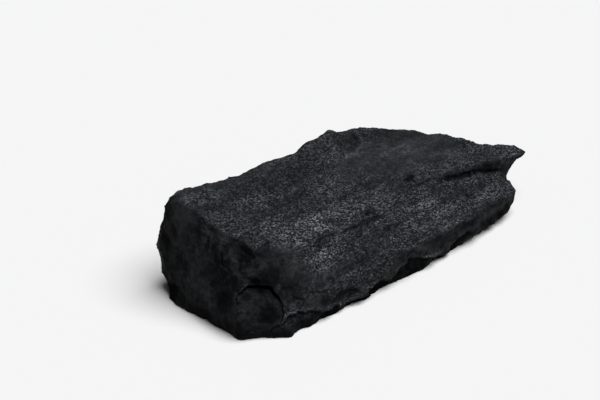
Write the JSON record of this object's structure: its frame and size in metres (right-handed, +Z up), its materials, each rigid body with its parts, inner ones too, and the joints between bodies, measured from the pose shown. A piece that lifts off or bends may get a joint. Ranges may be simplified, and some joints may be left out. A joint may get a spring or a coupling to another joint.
{
  "type": "drawing charcoal lump",
  "caption": "Long natural lump of black drawing charcoal, split along its bedding, with a stepped top, overhanging far tip and chipped corners.",
  "frame": {"origin": "middle of the footprint box, on the ground", "axes": "+X along the lump from its broken near end to its overhanging far tip, +Y to its higher back side, +Z up"},
  "size_m": [0.1302, 0.0504, 0.0361],
  "materials": {
    "cap_bed": "matt, grainy bedding face with fine glints",
    "middle_bed": "matt, grainy where it splits and smoother where it breaks",
    "base_bed": "dull, rubbed",
    "corner_flake": "smooth shell-shaped break",
    "corner_knob": "smooth shell-shaped break",
    "rim_spall": "smooth shell-shaped break"
  },
  "bodies": {
    "root": {"cap_bed": "cap_bed", "middle_bed": "middle_bed", "base_bed": "base_bed", "corner_flake": "corner_flake", "corner_knob": "corner_knob", "rim_spall": "rim_spall"}
  },
  "joints": []
}
